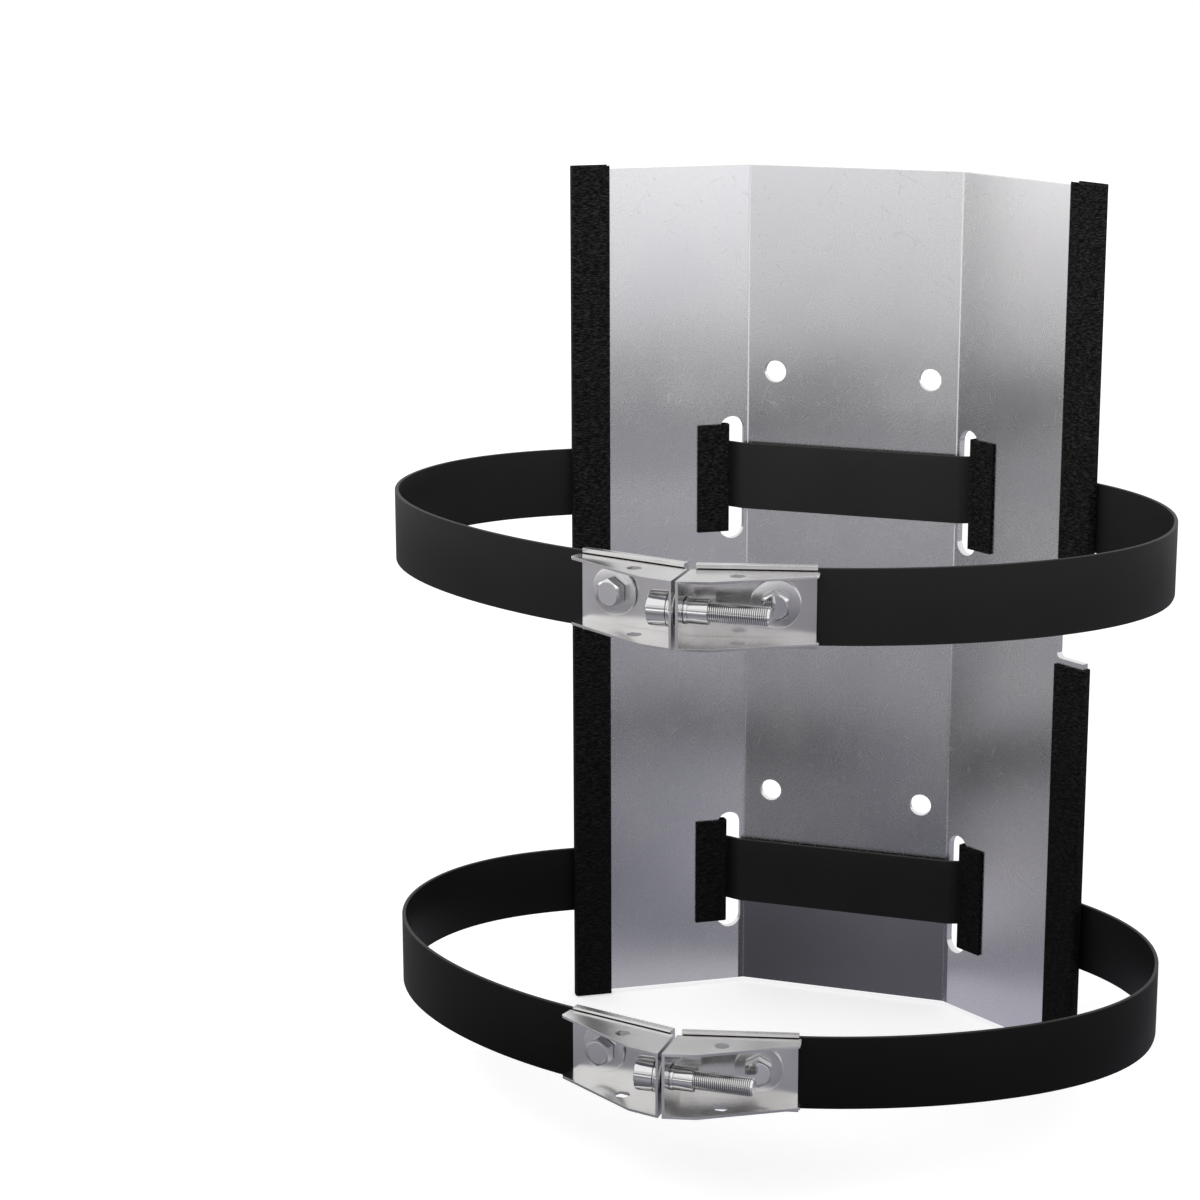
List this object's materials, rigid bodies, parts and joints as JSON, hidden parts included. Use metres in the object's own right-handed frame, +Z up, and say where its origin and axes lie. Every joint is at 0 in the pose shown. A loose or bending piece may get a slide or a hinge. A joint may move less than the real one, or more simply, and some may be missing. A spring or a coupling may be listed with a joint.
{
  "type": "gas cylinder bracket",
  "caption": "Folded steel wall bracket for a gas cylinder, with rubber-edged wings and black straps closed by screw-tensioned steel clasps.",
  "frame": {"origin": "centre of the web's flat wall face", "axes": "X along the wall, +Y into the wall, +Z up, straps on the -Y side"},
  "size_m": [0.3016, 0.2366, 0.353],
  "materials": {
    "steel": "satin sheet with fine criss-cross scratches",
    "rubber": "matt black edging with fine grain",
    "strap_coat": "smooth matt black coat on a steel band",
    "clasp_steel": "bright folded sheet",
    "fastener_steel": "polished stainless steel"
  },
  "bodies": {
    "bracket": {"wall_plate": "steel", "edge_trim_left": "rubber", "edge_trim_right_upper": "rubber", "edge_trim_right_lower": "rubber", "slot_trim_upper_left": "rubber", "slot_trim_upper_right": "rubber", "slot_trim_lower_left": "rubber", "slot_trim_lower_right": "rubber", "strap_upper": "strap_coat", "strap_lower": "strap_coat", "clasp_upper_left": "clasp_steel", "clasp_upper_right": "clasp_steel", "clasp_lower_left": "clasp_steel", "clasp_lower_right": "clasp_steel", "strap_tray_upper_left": "clasp_steel", "strap_tray_upper_right": "clasp_steel", "strap_tray_lower_left": "clasp_steel", "strap_tray_lower_right": "clasp_steel", "clamp_screw_upper_left": "fastener_steel", "clamp_screw_upper_right": "fastener_steel", "clamp_screw_lower_left": "fastener_steel", "clamp_screw_lower_right": "fastener_steel", "clamp_washer_upper_left": "fastener_steel", "clamp_washer_upper_right": "fastener_steel", "clamp_washer_lower_left": "fastener_steel", "clamp_washer_lower_right": "fastener_steel", "clamp_nut_upper_left": "fastener_steel", "clamp_nut_upper_right": "fastener_steel", "clamp_nut_lower_left": "fastener_steel", "clamp_nut_lower_right": "fastener_steel", "sleeve_nut_upper": "fastener_steel", "sleeve_nut_lower": "fastener_steel"},
    "washers_upper": {"tension_washer_upper": "fastener_steel", "spring_washer_upper": "fastener_steel"},
    "screw_upper": {"tension_screw_upper": "fastener_steel"},
    "washers_lower": {"tension_washer_lower": "fastener_steel", "spring_washer_lower": "fastener_steel"},
    "screw_lower": {"tension_screw_lower": "fastener_steel"}
  },
  "joints": [
    {"name": "washers_upper_slide", "type": "slide", "parent": "bracket", "child": "washers_upper", "axis": [-1, 0, 0], "range_m": [0, 0.003]},
    {"name": "screw_upper_turn", "type": "hinge", "parent": "washers_upper", "child": "screw_upper", "pos_m": [-0.0057, -0.22571, 0.047], "axis": [-1, 0, 0], "range_deg": [0, 1440]},
    {"name": "washers_lower_slide", "type": "slide", "parent": "bracket", "child": "washers_lower", "axis": [-1, 0, 0], "range_m": [0, 0.003]},
    {"name": "screw_lower_turn", "type": "hinge", "parent": "washers_lower", "child": "screw_lower", "pos_m": [-0.0098, -0.22691, -0.1254], "axis": [-1, 0, 0], "range_deg": [0, 1440]}
  ],
  "couplings": [
    {"joint": "screw_upper_turn", "follows": "washers_upper_slide", "rad_per_m": 8377.6},
    {"joint": "screw_lower_turn", "follows": "washers_lower_slide", "rad_per_m": 8377.6}
  ]
}
